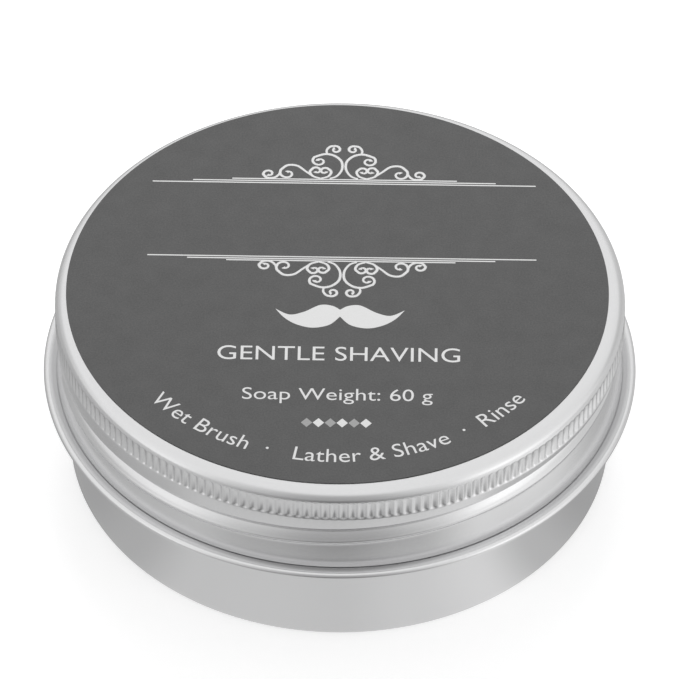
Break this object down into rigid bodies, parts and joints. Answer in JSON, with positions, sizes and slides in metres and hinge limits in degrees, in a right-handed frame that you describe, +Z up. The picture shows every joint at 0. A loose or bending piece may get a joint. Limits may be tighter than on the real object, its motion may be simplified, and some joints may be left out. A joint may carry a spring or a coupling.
{
  "type": "shaving soap puck in a screw-top tin",
  "caption": "Low round aluminium tin with a ribbed screw lid and a dark paper label, holding a poured puck of shaving soap.",
  "frame": {"origin": "centre of the tin's foot, on the plane it stands on", "axes": "+Z up along the tin's axis, through the lid; the front, where the label reads upright, faces -Y"},
  "size_m": [0.068, 0.068, 0.0246],
  "materials": {
    "tin_base": "satin",
    "tin_lid": "satin",
    "liner_foam": "matte",
    "soap": "satin",
    "label_paper": "matte",
    "print_ink": "matte",
    "base_paper": "matte"
  },
  "bodies": {
    "base": {"tin_base": "tin_base", "soap_puck": "soap", "base_label": "base_paper"},
    "liner": {"lid_liner": "liner_foam"},
    "lid": {"tin_lid": "tin_lid", "top_label": "label_paper"}
  },
  "joints": [
    {"name": "lid_lift", "type": "slide", "parent": "base", "child": "liner", "axis": [0, 0, 1], "range_m": [0, 0.0135]},
    {"name": "lid_twist", "type": "hinge", "parent": "liner", "child": "lid", "pos_m": [0, 0, 0.0195], "axis": [0, 0, 1], "range_deg": [0, 1080]}
  ],
  "couplings": [
    {"joint": "lid_twist", "follows": "lid_lift", "rad_per_m": 1396.3}
  ]
}
